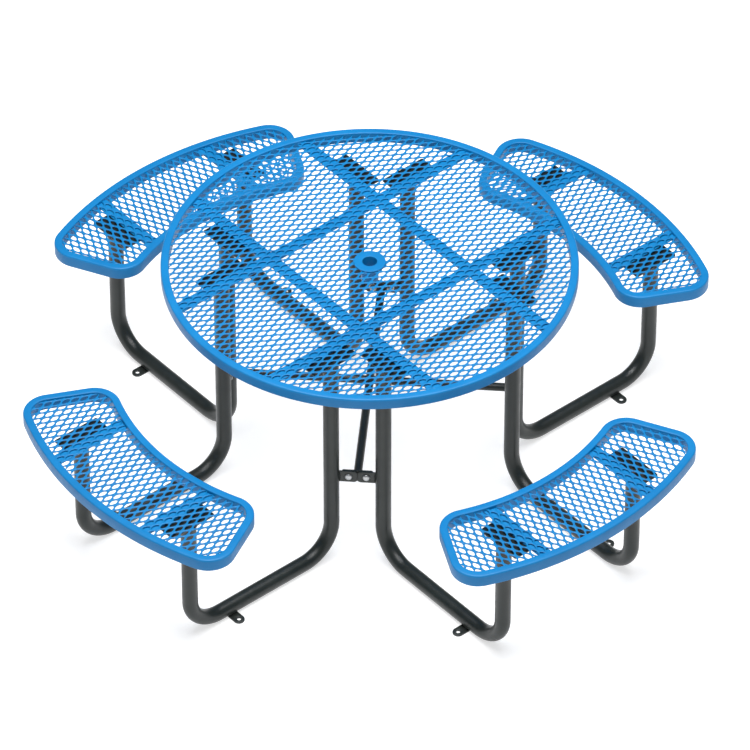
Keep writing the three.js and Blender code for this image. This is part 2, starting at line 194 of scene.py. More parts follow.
def rounded(corners, steps=4):
    """A closed outline through corners given as (x, y, radius), each rounded to its radius."""
    points = []
    for index, (x, y, radius) in enumerate(corners):
        corner = Vector((x, y))
        before = (Vector(corners[index - 1][:2]) - corner).normalized()
        after = (Vector(corners[(index + 1) % len(corners)][:2]) - corner).normalized()
        half = before.angle(after) / 2
        centre = corner + (before + after).normalized() * radius / math.sin(half)
        start = corner + before * radius / math.tan(half) - centre
        end = corner + after * radius / math.tan(half) - centre
        for step in range(steps + 1):
            outwards = start.slerp(end, step / steps)
            points.append(tuple(centre + outwards.normalized() * radius))
    return points


def rounded_rectangle(low_x, low_y, high_x, high_y, radius):
    corners = [(low_x, low_y), (high_x, low_y), (high_x, high_y), (low_x, high_y)]
    return rounded([(x, y, radius) for x, y in corners], steps=6)


def table_outline(inset):
    return circle(TABLE_RADIUS - inset, TABLE_SIDES)


def seat_outline(inset):
    """The seat's edge, inset evenly: two arcs about one middle with radial ends and round corners."""
    middle = SEAT_CENTRE_X
    outer_reach = SEAT_OUTER_RADIUS - SEAT_CORNER_RADIUS
    inner_reach = SEAT_INNER_RADIUS + SEAT_CORNER_RADIUS
    outer_turn = SEAT_HALF_ANGLE - math.asin(SEAT_CORNER_RADIUS / outer_reach)
    inner_turn = SEAT_HALF_ANGLE - math.asin(SEAT_CORNER_RADIUS / inner_reach)
    end_turn = SEAT_HALF_ANGLE + QUARTER_TURN
    radius = SEAT_CORNER_RADIUS - inset

    def corner(reach, turn, start, end):
        x = middle + reach * math.cos(turn)
        y = reach * math.sin(turn)
        return arc(x, y, radius, start, end, ARC_STEPS)

    points = arc(middle, 0, SEAT_OUTER_RADIUS - inset, -outer_turn, outer_turn, 3 * ARC_STEPS)[:-1]
    points += corner(outer_reach, outer_turn, outer_turn, end_turn)
    points += corner(inner_reach, inner_turn, end_turn, math.pi + inner_turn)[:-1]
    points += arc(middle, 0, SEAT_INNER_RADIUS + inset, inner_turn, -inner_turn, 2 * ARC_STEPS)[:-1]
    points += corner(inner_reach, -inner_turn, math.pi - inner_turn, 2 * math.pi - end_turn)
    points += corner(outer_reach, -outer_turn, -end_turn, -outer_turn)[:-1]
    return points


# ---- solids, each as (vertices, faces) ----

def loft(rings, closed=False):
    """A skin over rings of equal length. Its ends are capped, or joined if it is closed."""
    size = len(rings[0])
    vertices = [tuple(point) for ring in rings for point in ring]
    faces = []
    for index in range(len(rings) if closed else len(rings) - 1):
        here = index * size
        there = (index + 1) % len(rings) * size
        for side in range(size):
            after = (side + 1) % size
            faces.append((here + side, here + after, there + after, there + side))
    if not closed:
        faces.append(tuple(reversed(range(size))))
        faces.append(tuple(range(len(vertices) - size, len(vertices))))
    return vertices, faces


def together(*solids):
    vertices, faces = [], []
    for more_vertices, more_faces in solids:
        start = len(vertices)
        vertices += more_vertices
        faces += [tuple(start + corner for corner in face) for face in more_faces]
    return vertices, faces


def moved(solid, matrix):
    vertices, faces = solid
    return [tuple(matrix @ Vector(point)) for point in vertices], faces


def turned_about_z(profile, steps):
    """A closed profile of (radius, z) points turned about the Z axis into a ring."""
    rings = []
    for step in range(steps):
        angle = 2 * math.pi * step / steps
        rings.append([(r * math.cos(angle), r * math.sin(angle), z) for r, z in profile])
    return loft(rings, closed=True)


def spun(profile, steps=ROUND_SIDES):
    """A stack of (radius, z) points, from bottom to top, spun about the Z axis and capped."""
    return loft([[(x, y, z) for x, y in circle(r, steps)] for r, z in profile])


def swept(route, section):
    """section, as (across, along Y) points, carried along a route of (point, direction) in XZ."""
    rings = []
    for point, direction in route:
        across = Vector((direction.z, 0, -direction.x))
        rings.append([point + across * a + Vector((0, b, 0)) for a, b in section])
    return loft(rings)


def round_bar(start, end, radius, steps=ROUND_SIDES):
    """A straight round bar between two points."""
    axis = end - start
    turn = axis.to_track_quat("Z", "Y").to_matrix().to_4x4()
    return moved(spun([(radius, 0), (radius, axis.length)], steps), Matrix.Translation(start) @ turn)


def flat_plate(outline, low, high, holes=()):
    """A plate with rounded edges, filled between its outline and its holes."""
    curve = bpy.data.curves.new("plate", "CURVE")
    curve.dimensions = "2D"
    curve.fill_mode = "BOTH"
    curve.extrude = (high - low) / 2 - SHEET_METAL_EDGE
    curve.bevel_depth = SHEET_METAL_EDGE
    curve.bevel_resolution = 1
    curve.offset = -SHEET_METAL_EDGE
    for points in [outline, *holes]:
        spline = curve.splines.new("POLY")
        spline.points.add(len(points) - 1)
        spline.use_cyclic_u = True
        for point, (x, y) in zip(spline.points, points):
            point.co = (x, y, 0, 1)
    carrier = bpy.data.objects.new("plate", curve)
    bpy.context.scene.collection.objects.link(carrier)
    filled = carrier.evaluated_get(bpy.context.evaluated_depsgraph_get())
    mesh = bpy.data.meshes.new_from_object(filled)
    middle = (low + high) / 2
    vertices = [(v.co.x, v.co.y, v.co.z + middle) for v in mesh.vertices]
    faces = [tuple(face.vertices) for face in mesh.polygons]
    bpy.data.objects.remove(carrier)
    bpy.data.curves.remove(curve)
    bpy.data.meshes.remove(mesh)
    return vertices, faces


def weld_bead(points, closed=False):
    """A rippled bead of weld along points that lie close together."""
    count = len(points)
    length = 0.0
    rings = []
    for index, point in enumerate(points):
        after = points[(index + 1) % count] if closed or index + 1 < count else point
        before = points[index - 1] if closed or index > 0 else point
        turn = (after - before).to_track_quat("Z", "Y")
        length += (point - before).length
        swell = 1 + WELD_RIPPLE * math.sin(2 * math.pi * length / WELD_RIPPLE_LENGTH)
        if not closed:
            swell *= math.sqrt(max(WELD_END_LEAST, 1 - abs(2 * index / (count - 1) - 1) ** WELD_END_POWER))
        radius = WELD_RADIUS * swell
        rings.append([point + turn @ Vector((x, y, 0)) for x, y in circle(radius, WELD_SIDES)])
    return loft(rings, closed=closed)


def weld_round_tube(centre, radius):
    steps = int(2 * math.pi * radius / WELD_RIPPLE_LENGTH * WELD_STEPS_PER_RIPPLE)
    return weld_bead([centre + Vector((x, y, 0)) for x, y in circle(radius, steps)], closed=True)


def weld_line(start, end):
    steps = int((end - start).length / WELD_RIPPLE_LENGTH * WELD_STEPS_PER_RIPPLE)
    steps = max(WELD_LEAST_STEPS, steps)
    return weld_bead([start.lerp(end, step / steps) for step in range(steps + 1)])


# ---- pieces ----

def piece(name, solid, finish, placing=Matrix.Identity(4), smooth_below=math.radians(35)):
    """A mesh object made from a solid, placed by a matrix, that rides on the frame's one body."""
    material, slot = finish
    mesh = bpy.data.meshes.new(name)
    mesh.from_pydata(solid[0], [], solid[1])
    mesh.transform(placing)
    shape = bmesh.new()
    shape.from_mesh(mesh)
    bmesh.ops.remove_doubles(shape, verts=shape.verts, dist=1e-6)
    bmesh.ops.recalc_face_normals(shape, faces=shape.faces)
    shape.to_mesh(mesh)
    shape.free()
    mesh.shade_smooth()
    mesh.set_sharp_from_angle(angle=smooth_below)
    mesh.materials.append(material)
    thing = bpy.data.objects.new(name, mesh)
    bpy.context.scene.collection.objects.link(thing)
    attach(thing, "root")
    return thing


def turn_z(angle):
    return Matrix.Rotation(angle, 4, "Z")


def seat_turn(seat):
    """The turn that takes the +X side's pieces to a seat's own side."""
    return turn_z((seat - 1) * QUARTER_TURN)


def placings():
    """The places of the eight tubes, from the one on the +Y side of the +X seat, with their names."""
    for seat in SEATS:
        yield f"{seat}a", seat_turn(seat) @ Matrix.Diagonal((1, -1, 1, 1))
        yield f"{seat}b", seat_turn(seat)


# ---- materials ----

class Shading:
    """A material being made: its shader, and the nodes that feed it."""

    def __init__(self, name):
        self.material = bpy.data.materials.new(name)
        self.material.use_nodes = True
        self.nodes = self.material.node_tree.nodes
        self.links = self.material.node_tree.links
        self.shader = self.nodes["Principled BSDF"]

    def set(self, name, value):
        """Give one of the shader's inputs a fixed value."""
        self.shader.inputs[name].default_value = value

    def feed(self, name, output):
        """Give one of the shader's inputs another node's output."""
        self.links.new(output, self.shader.inputs[name])

    def place(self):
        """The point's place in the object's own coordinates, which are the frame's."""
        return self.nodes.new("ShaderNodeTexCoord").outputs["Object"]

    def height(self):
        split = self.nodes.new("ShaderNodeSeparateXYZ")
        self.links.new(self.place(), split.inputs["Vector"])
        return split.outputs["Z"]

    def pointiness(self):
        return self.nodes.new("ShaderNodeNewGeometry").outputs["Pointiness"]

    def noise(self, scale, detail):
        """The value of a 3-D noise with about scale features to the metre."""
        texture = self.nodes.new("ShaderNodeTexNoise")
        texture.inputs["Scale"].default_value = scale
        texture.inputs["Detail"].default_value = detail
        self.links.new(self.place(), texture.inputs["Vector"])
        return texture.outputs["Fac"]

    def ramp(self, value, low, high, start, end):
        """start where value is at low or less, end where it is at high or more."""
        spread = self.nodes.new("ShaderNodeMapRange")
        spread.inputs["From Min"].default_value = low
        spread.inputs["From Max"].default_value = high
        spread.inputs["To Min"].default_value = start
        spread.inputs["To Max"].default_value = end
        self.links.new(value, spread.inputs["Value"])
        return spread.outputs["Result"]

    def blend(self, amount, first, second):
        """A mix of two colours, each a colour or another node's output."""
        mix = self.nodes.new("ShaderNodeMix")
        mix.data_type = "RGBA"
        self.links.new(amount, mix.inputs["Factor"])
        for name, colour in (("A", first), ("B", second)):
            socket = next(s for s in mix.inputs if s.name == name and s.type == "RGBA")
            if isinstance(colour, tuple):
                socket.default_value = (*colour, 1)
            else:
                self.links.new(colour, socket)
        return next(s for s in mix.outputs if s.type == "RGBA")

    def bump(self, height, distance, strength, under=None):
        """A normal bent by a height, on top of another bump's normal if there is one."""
        node = self.nodes.new("ShaderNodeBump")
        node.inputs["Distance"].default_value = distance
        node.inputs["Strength"].default_value = strength
        self.links.new(height, node.inputs["Height"])
        if under is not None:
            self.links.new(under, node.inputs["Normal"])
        return node.outputs["Normal"]


def blue_plastic_coating():
    """A thick thermoplastic coat: satin and slightly uneven, with a painted highlight that makes its edges
    paler.
    """
    coat = Shading("blue_coating")
    cloudy = coat.ramp(coat.noise(scale=9, detail=3), 0.35, 0.65, 0, 1)
    colour = coat.blend(cloudy, (0.001, 0.140, 0.362), (0.002, 0.158, 0.398))
    # Convex edges are blended towards a paler blue: a painted highlight along the edges.
    painted_edge_highlight = coat.ramp(coat.pointiness(), 0.52, 0.62, 0, 0.35)
    coat.feed("Base Color", coat.blend(painted_edge_highlight, colour, (0.01, 0.22, 0.50)))
    coat.feed("Roughness", coat.ramp(coat.noise(scale=55, detail=4), 0.3, 0.7, 0.34, 0.46))
    coat.set("Specular IOR Level", 0.25)
    soft = coat.bump(coat.noise(scale=160, detail=2), distance=0.0006, strength=0.35)
    fine = coat.bump(coat.noise(scale=900, detail=2), distance=0.00015, strength=0.3, under=soft)
    coat.feed("Normal", fine)
    return coat.material


def charcoal_powder_coating():
    """Baked powder on steel: semi-gloss with orange peel, dusty close to the ground."""
    coat = Shading("charcoal_coating")
    cloudy = coat.ramp(coat.noise(scale=7, detail=4), 0.35, 0.65, 0, 1)
    colour = coat.blend(cloudy, (0.009, 0.0135, 0.0125), (0.015, 0.020, 0.0185))
    dusty = coat.ramp(coat.height(), 0.0, 0.03, 0.06, 0)
    coat.feed("Base Color", coat.blend(dusty, colour, (0.16, 0.155, 0.14)))
    coat.feed("Roughness", coat.ramp(coat.noise(scale=40, detail=4), 0.3, 0.7, 0.28, 0.42))
    coat.set("Specular IOR Level", 0.42)
    orange_peel = coat.bump(coat.noise(scale=420, detail=2), distance=0.00025, strength=0.35)
    coat.feed("Normal", orange_peel)
    return coat.material


def zinc_plate():
    """Zinc-plated steel: pale grey metal, cloudy and lightly pitted."""
    plate = Shading("zinc_plate")
    cloudy = plate.ramp(plate.noise(scale=300, detail=3), 0.35, 0.65, 0, 1)
    plate.feed("Base Color", plate.blend(cloudy, (0.36, 0.37, 0.38), (0.50, 0.51, 0.52)))
    plate.set("Metallic", 1)
    plate.feed("Roughness", plate.ramp(plate.noise(scale=700, detail=2), 0.3, 0.7, 0.3, 0.5))
    pits = plate.bump(plate.noise(scale=1500, detail=2), distance=0.0001, strength=0.3)
    plate.feed("Normal", pits)
    return plate.material


# Each finish is a material and the slot of the frame that it stands for.
BLUE = (blue_plastic_coating(), "blue_coating")
CHARCOAL = (charcoal_powder_coating(), "charcoal_coating")
ZINC = (zinc_plate(), "zinc_bolts")


# ---- rims ----

def rim_profile(depth):
    """The rolled channel's section as (inset, drop) points, open side down, with round edges."""
    far_wall = RIM_WIDTH - RIM_WALL
    return rounded([
        (0, depth, RIM_LIP_RADIUS),
        (0, 0, RIM_EDGE_RADIUS),
        (RIM_WIDTH, 0, RIM_INNER_EDGE_RADIUS),
        (RIM_WIDTH, depth, RIM_LIP_RADIUS),
        (far_wall, depth, RIM_LIP_RADIUS),
        (far_wall, RIM_WALL, RIM_LIP_RADIUS),
        (RIM_WALL, RIM_WALL, RIM_LIP_RADIUS),
        (RIM_WALL, depth, RIM_LIP_RADIUS),
    ])


def rim(outline, top, depth):
    rings = [[(x, y, top - drop) for x, y in outline(inset)] for inset, drop in rim_profile(depth)]
    return loft(rings, closed=True)


def add_rims():
    ring = rim(table_outline, TABLE_TOP, TABLE_RIM_DEPTH)
    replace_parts(piece("table_edge_channel", ring, BLUE), "table_rim")
    ring = rim(seat_outline, SEAT_TOP, SEAT_RIM_DEPTH)
    for seat in SEATS:
        placing = seat_turn(seat)
        edge = piece(f"seat_{seat}_edge_channel", ring, BLUE, placing)
        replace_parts(edge, f"seat_{seat}_rim")


# ---- expanded metal ----

def table_room(x, y):
    """How far a point lies inside the table's rim and outside the umbrella collar's neck."""
    reach = math.hypot(x, y)
    return min(TABLE_RADIUS - RIM_WIDTH - reach, reach - COLLAR_NECK_RADIUS)


def seat_room(x, y):
    """How far a point lies inside the seat's rim."""
    reach = math.hypot(x - SEAT_CENTRE_X, y)
    turn = math.atan2(abs(y), x - SEAT_CENTRE_X)
    from_arc = min(SEAT_OUTER_RADIUS - reach, reach - SEAT_INNER_RADIUS)
    from_end = reach * math.sin(SEAT_HALF_ANGLE - turn)
    corner = SEAT_CORNER_RADIUS
    if from_arc < corner and from_end < corner:
        return corner - math.hypot(corner - from_arc, corner - from_end) - RIM_WIDTH
    return min(from_arc, from_end) - RIM_WIDTH


def pushed_back(x, y, room):
    """The point, moved back along the steepest way until it sinks into the rim no more than it may."""
    step = 0.0005
    tries = 4
    for _ in range(tries):
        excess = -MESH_SINK_MOST - room(x, y)
        if excess <= 0:
            break
        slope_x = (room(x + step, y) - room(x - step, y)) / (2 * step)
        slope_y = (room(x, y + step) - room(x, y - step)) / (2 * step)
        steepness = max(slope_x ** 2 + slope_y ** 2, 1e-6)
        x += excess * slope_x / steepness
        y += excess * slope_y / steepness
    return x, y


def wall_crossing(start, end, room):
    """The point between start and end where a strand's edge has run MESH_SINK into the rim."""
    halvings = 12
    low, high = 0.0, 1.0
    for _ in range(halvings):
        middle = (low + high) / 2
        if room(*start.lerp(end, middle)) > -MESH_SINK:
            low = middle
        else:
            high = middle
    return start.lerp(end, high)


CROTCHES = {
    "left": Vector((-MESH_KNUCKLE_LONG, 0)),
    "right": Vector((MESH_KNUCKLE_LONG, 0)),
    "top": Vector((0, MESH_KNUCKLE_SHORT)),
    "bottom": Vector((0, -MESH_KNUCKLE_SHORT)),
}


class ExpandedMetal:
    """Raised expanded metal wherever there is room: knuckles on a lattice, joined by four strands.

    A knuckle is a flat diamond of four crotches, each a pair of vertices, upper and lower. A strand
    runs from one side of a knuckle to the facing side of the next, so the sheet is one skin with no
    open edge, later rounded by subdivision.
    """

    def __init__(self, middle_x, level, room):
        self.middle_x = middle_x
        self.level = level
        self.room = room
        self.vertices = []
        self.faces = []
        self.knuckles = {}  # by (column, row), the upper vertex of each crotch by its name

    def height(self, crotch):
        return self.level + MESH_SLOPE * CROTCHES[crotch].y

    def centre(self, column, row):
        x = self.middle_x + (column + row % 2 / 2) * MESH_LONG_WAY
        return Vector((x, row * MESH_SHORT_WAY / 2))

    def crotch_place(self, knuckle, crotch):
        return self.centre(*knuckle) + CROTCHES[crotch]

    def add_pair(self, place, z):
        """Add a vertex above and a vertex below a place, and return the upper one's number."""
        x, y = pushed_back(*place, self.room)
        self.vertices.append((x, y, z + MESH_THICKNESS / 2))
        self.vertices.append((x, y, z - MESH_THICKNESS / 2))
        return len(self.vertices) - 2

    def add_knuckle(self, knuckle):
        self.knuckles[knuckle] = {
            crotch: self.add_pair(self.crotch_place(knuckle, crotch), self.height(crotch))
            for crotch in CROTCHES
        }

    def add_sides(self, first, second, third, fourth):
        """The four long faces of a strand between the pairs first-second and fourth-third."""
        self.faces.append((first, second, third, fourth))
        self.faces.append((fourth + 1, third + 1, second + 1, first + 1))
        self.faces.append((first + 1, second + 1, second, first))
        self.faces.append((third + 1, fourth + 1, fourth, third))

    def cut_end(self, kept, kept_crotch, gone, gone_crotch):
        """The pair where a strand's edge from a kept knuckle to a missing one is cut off in the rim."""
        start = self.crotch_place(kept, kept_crotch)
        end = self.crotch_place(gone, gone_crotch)
        cut = wall_crossing(start, end, self.room)
        share = (cut - start).length / (end - start).length
        return self.add_pair(cut, self.height(kept_crotch) * (1 - share) + self.height(gone_crotch) * share)

    def add_strand(self, near, far, near_crotches, far_crotches):
        """The strand between two knuckles, cut off in the rim where one of them is missing."""
        if near in self.knuckles:
            kept, kept_crotches, other, other_crotches = near, near_crotches, far, far_crotches
        elif far in self.knuckles:
            kept, kept_crotches, other, other_crotches = far, far_crotches, near, near_crotches
        else:
            return
        first, fourth = (self.knuckles[kept][crotch] for crotch in kept_crotches)
        if other in self.knuckles:
            second, third = (self.knuckles[other][crotch] for crotch in other_crotches)
            self.add_sides(first, second, third, fourth)
            return
        second, third = (
            self.cut_end(kept, kept_crotch, other, other_crotch)
            for kept_crotch, other_crotch in zip(kept_crotches, other_crotches)
        )
        self.add_sides(first, second, third, fourth)
        self.faces.append((second, second + 1, third + 1, third))

    def close_knuckle(self, knuckle):
        """The knuckle's upper and lower faces."""
        ring = [self.knuckles[knuckle][crotch] for crotch in ("left", "bottom", "right", "top")]
        self.faces.append(tuple(ring))
        self.faces.append(tuple(corner + 1 for corner in reversed(ring)))

    def solid(self, reach_x, reach_y):
        """The whole sheet, out to a reach each way from its middle."""
        columns = int(reach_x / MESH_LONG_WAY) + 2
        rows = int(reach_y / MESH_SHORT_WAY * 2) + 2
        places = [(c, r) for r in range(-rows, rows + 1) for c in range(-columns, columns + 1)]
        for place in places:
            if self.room(*self.centre(*place)) > 0:
                self.add_knuckle(place)
        for column, row in places:
            right = (column + row % 2, row + 1)
            left = (right[0] - 1, row + 1)
            self.add_strand((column, row), right, ("right", "top"), ("bottom", "left"))
            self.add_strand((column, row), left, ("top", "left"), ("right", "bottom"))
        for knuckle in self.knuckles:
            self.close_knuckle(knuckle)
        return self.vertices, self.faces


def rounded_strands(thing):
    rounding = thing.modifiers.new("rounding", "SUBSURF")
    rounding.levels = 1
    rounding.render_levels = 1


def add_expanded_metal():
    reach = TABLE_RADIUS - RIM_WIDTH
    solid = ExpandedMetal(0, middle("table_sheet", "z"), table_room).solid(reach, reach)
    sheet = piece("table_expanded_metal", solid, BLUE, turn_z(TABLE_MESH_TURN), math.pi)
    rounded_strands(sheet)
    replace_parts(sheet, "table_sheet")
    low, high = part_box("seat_1_sheet")
    middle_x = middle("seat_1_sheet", "x")
    level = middle("seat_1_sheet", "z")
    reach_x = (high.x - low.x) / 2 + MESH_LONG_WAY
    reach_y = high.y + 2 * MESH_SHORT_WAY
    for seat, turn in enumerate(SEAT_MESH_TURNS, start=1):
        def turned_seat_room(x, y, turn=turn):
            return seat_room(
                x * math.cos(turn) - y * math.sin(turn),
                x * math.sin(turn) + y * math.cos(turn),
            )
        solid = ExpandedMetal(middle_x, level, turned_seat_room).solid(reach_x, reach_y)
        placing = turn_z((seat - 1) * QUARTER_TURN + turn)
        sheet = piece(f"seat_{seat}_expanded_metal", solid, BLUE, placing, math.pi)
        rounded_strands(sheet)
        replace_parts(sheet, f"seat_{seat}_sheet")


# ---- umbrella collar ----

def add_collar():
    flange_bottom = COLLAR_TOP - COLLAR_FLANGE_THICKNESS
    profile = rounded([
        (COLLAR_HOLE_RADIUS, COLLAR_BOTTOM, COLLAR_EDGE_RADIUS),
        (COLLAR_NECK_RADIUS, COLLAR_BOTTOM, COLLAR_EDGE_RADIUS),
        (COLLAR_NECK_RADIUS, flange_bottom, COLLAR_EDGE_RADIUS),
        (COLLAR_FLANGE_RADIUS, flange_bottom, COLLAR_EDGE_RADIUS),
        (COLLAR_FLANGE_RADIUS, COLLAR_TOP, COLLAR_TOP_EDGE_RADIUS),
        (COLLAR_HOLE_RADIUS, COLLAR_TOP, COLLAR_TOP_EDGE_RADIUS),
    ])
    collar = piece("umbrella_sleeve", turned_about_z(profile, COLLAR_SIDES), BLUE)
    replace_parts(collar, "umbrella_collar")


# ---- straps ----

def strap_ring(x_at, y, low, high):
    """A strap's section at the X that x_at gives for each point's Y."""
    half = STRAP_WIDTH / 2
    section = rounded_rectangle(y - half, low, y + half, high, STRAP_EDGE_RADIUS)
    return [(x_at(across), across, z) for across, z in section]


def strap_bar(y, low, high, start_at, end_at, notches=(), notched_from_below=False):
    """A flat bar along X between two curved ends, cut halfway through at each notch."""
    middle = (low + high) / 2
    half_gap = STRAP_WIDTH / 2 + FIT_GAP
    if notched_from_below:
        notch_low, notch_high = middle + FIT_GAP / 2, high
    else:
        notch_low, notch_high = low, middle - FIT_GAP / 2
    rings = [strap_ring(start_at, y, low, high)]
    for notch in notches:
        for x, is_open in ((notch - half_gap, True), (notch + half_gap, False)):
            full = strap_ring(lambda _, x=x: x, y, low, high)
            thin = strap_ring(lambda _, x=x: x, y, notch_low, notch_high)
            rings += [full, thin] if is_open else [thin, full]
    rings.append(strap_ring(end_at, y, low, high))
    return loft(rings)


def strap_welds(y, low, start_at, end_at):
    """A bead across the underside of each end of a strap, in the corner that it makes with the rim."""
    half = STRAP_WIDTH / 2 - WELD_RADIUS
    steps = int(2 * half / WELD_RIPPLE_LENGTH * WELD_STEPS_PER_RIPPLE)
    places = [y - half + 2 * half * step / steps for step in range(steps + 1)]
    return together(*[
        weld_bead([Vector((x_at(across), across, low)) for across in places])
        for x_at in (start_at, end_at)
    ])


def add_table_straps():
    reach = TABLE_RADIUS - RIM_WIDTH + STRAP_REACH_INTO_RIM

    def end_at(across):
        return math.sqrt(reach ** 2 - across ** 2)

    def start_at(across):
        return -end_at(across)

    notches = sorted(middle(f"table_strap_y_{number}", "x") for number in (1, 2))
    for direction, turn, from_below in (("x", 0, True), ("y", QUARTER_TURN, False)):
        for number, y in enumerate(notches, start=1):
            node = f"table_strap_{direction}_{number}"
            low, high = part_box(node)
            bar = strap_bar(y, low.z, high.z, start_at, end_at, notches, from_below)
            name = f"table_cross_bar_{direction}_{number}"
            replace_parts(piece(name, bar, BLUE, turn_z(turn)), node)
            welds = strap_welds(y, low.z, start_at, end_at)
            piece(f"table_cross_bar_welds_{direction}_{number}", welds, BLUE, turn_z(turn))


def add_seat_straps():
    inner = SEAT_INNER_RADIUS + RIM_WIDTH - STRAP_REACH_INTO_RIM
    outer = SEAT_OUTER_RADIUS - RIM_WIDTH + STRAP_REACH_INTO_RIM

    def start_at(across):
        return SEAT_CENTRE_X + math.sqrt(inner ** 2 - across ** 2)

    def end_at(across):
        return SEAT_CENTRE_X + math.sqrt(outer ** 2 - across ** 2)

    for letter in "ab":
        low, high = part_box(f"seat_1_strap_{letter}")
        y = middle(f"seat_1_strap_{letter}", "y")
        bar = strap_bar(y, low.z, high.z, start_at, end_at)
        welds = strap_welds(y, low.z, start_at, end_at)
        for seat in SEATS:
            placing = seat_turn(seat)
            strap = piece(f"seat_{seat}_cross_bar_{letter}", bar, BLUE, placing)
            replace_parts(strap, f"seat_{seat}_strap_{letter}")
            piece(f"seat_{seat}_cross_bar_welds_{letter}", welds, BLUE, placing)


# ---- bent tubes with their plates, tabs and ears ----

def leg_route():
    """(point, direction) along a tube's middle line: down the leg, along the ground, up the post."""
    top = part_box("table_plate_1b")[0].z
    seat_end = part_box("seat_plate_1b")[0].z
    bend, floor = BEND_RADIUS, TUBE_RADIUS
    route = [(Vector((LEG_X, TUBE_Y, top)), Vector((0, 0, -1)))]
    for step in range(ARC_STEPS + 1):
        turn = QUARTER_TURN * step / ARC_STEPS
        point = (LEG_X + bend - bend * math.cos(turn), TUBE_Y, floor + bend - bend * math.sin(turn))
        route.append((Vector(point), Vector((math.sin(turn), 0, -math.cos(turn)))))
    for step in range(ARC_STEPS + 1):
        turn = QUARTER_TURN * step / ARC_STEPS
        point = (POST_X - bend + bend * math.sin(turn), TUBE_Y, floor + bend - bend * math.cos(turn))
        route.append((Vector(point), Vector((math.cos(turn), 0, math.sin(turn)))))
    route.append((Vector((POST_X, TUBE_Y, seat_end)), Vector((0, 0, 1))))
    return route


def add_legs():
    tube = swept(leg_route(), circle(TUBE_RADIUS, TUBE_SIDES))
    for name, placing in placings():
        leg = piece(f"bent_tube_{name}", tube, CHARCOAL, placing)
        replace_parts(leg, f"leg_tube_{name}")


def anchor_tab():
    """A flat tab on the ground with a round outer end and a hole, reaching out from a tube along +Y."""
    outline = arc(0, TAB_HOLE_REACH, TAB_HALF_WIDTH, 0, math.pi, TAB_END_STEPS)
    outline += [(-TAB_HALF_WIDTH, TAB_ROOT), (TAB_HALF_WIDTH, TAB_ROOT)]
    hole = circle(TAB_HOLE_RADIUS, HOLE_SIDES, 0, TAB_HOLE_REACH)
    plate = flat_plate(outline, 0, TAB_THICKNESS, [hole])
    return moved(plate, Matrix.Translation((TAB_X, TUBE_Y, 0)))


def add_anchor_tabs():
    tab = anchor_tab()
    reach = math.sqrt(TUBE_RADIUS ** 2 - (TUBE_RADIUS - TAB_THICKNESS) ** 2)
    half = TAB_HALF_WIDTH - WELD_RADIUS
    start = Vector((TAB_X - half, TUBE_Y + reach, TAB_THICKNESS))
    weld = weld_line(start, start + Vector((2 * half, 0, 0)))
    for name, placing in placings():
        piece(f"anchor_tab_{name}", tab, CHARCOAL, placing)
        piece(f"anchor_tab_weld_{name}", weld, CHARCOAL, placing)


def ear():
    """An ear beside the leg at the origin, in the XZ plane, reaching along +X to the pair's middle."""
    half = EAR_HEIGHT / 2
    radius = EAR_CORNER_RADIUS
    corner_x = PAIR_HALF - FIT_GAP - radius
    corner_z = half - radius
    outline = [(EAR_ROOT, -half)]
    outline += arc(corner_x, -corner_z, radius, -QUARTER_TURN, 0, EAR_CORNER_STEPS)
    outline += arc(corner_x, corner_z, radius, 0, QUARTER_TURN, EAR_CORNER_STEPS)
    outline.append((EAR_ROOT, half))
    hole = circle(BOLT_HOLE_RADIUS, HOLE_SIDES, PAIR_HALF - TIE_BOLT_REACH, 0)
    plate = flat_plate(outline, -EAR_THICKNESS / 2, EAR_THICKNESS / 2, [hole])
    return moved(plate, Matrix.Rotation(QUARTER_TURN, 4, "X"))


def add_ears():
    place = Matrix.Translation((LEG_X, TUBE_Y, TIE_HEIGHT)) @ turn_z(QUARTER_TURN + EIGHTH_TURN)
    plate = moved(ear(), place)
    up = Vector((0, 0, EAR_HEIGHT / 2 - WELD_RADIUS))
    foot_x = math.sqrt(TUBE_RADIUS ** 2 - EAR_THICKNESS ** 2 / 4)
    beads = []
    for side in (-1, 1):
        foot = Vector((foot_x, side * EAR_THICKNESS / 2, 0))
        beads.append(weld_line(foot - up, foot + up))
    welds = moved(together(*beads), place)
    for name, placing in placings():
        piece(f"tie_ear_{name}", plate, CHARCOAL, placing)
        piece(f"tie_ear_weld_{name}", welds, CHARCOAL, placing)


def add_plates():
    """The plates that join the tubes' ends to the straps, each with its weld and its two bolts."""
    for kind, x, strap in (("table", LEG_X, "table_strap_x_2"), ("seat", POST_X, "seat_1_strap_b")):
        low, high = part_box(f"{kind}_plate_1b")
        strap_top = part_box(strap)[1].z
        bolt_y = middle(strap, "y")
        outline = rounded_rectangle(low.x, low.y, high.x, high.y, PLATE_CORNER_RADIUS)
        bolt_places = [Vector((x + side * PLATE_BOLT_SPACING / 2, bolt_y, 0)) for side in (-1, 1)]
        holes = [circle(PLATE_HOLE_RADIUS, BOLT_SIDES, place.x, place.y) for place in bolt_places]
        plate = flat_plate(outline, low.z, high.z, holes)
        weld_middle = Vector((x, TUBE_Y, low.z - WELD_STAND_OFF))
        weld = weld_round_tube(weld_middle, TUBE_RADIUS + WELD_STAND_OFF)
        bolts = together(*[
            moved(plate_bolt(strap_top - low.z), Matrix.Translation((place.x, place.y, low.z)))
            for place in bolt_places
        ])
        for name, placing in placings():
            shown = piece(f"{kind}_mounting_plate_{name}", plate, CHARCOAL, placing)
            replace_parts(shown, f"{kind}_plate_{name}")
            piece(f"{kind}_plate_weld_{name}", weld, CHARCOAL, placing)
            piece(f"{kind}_plate_bolts_{name}", bolts, ZINC, placing)


# ---- fasteners, with their axis along Z ----

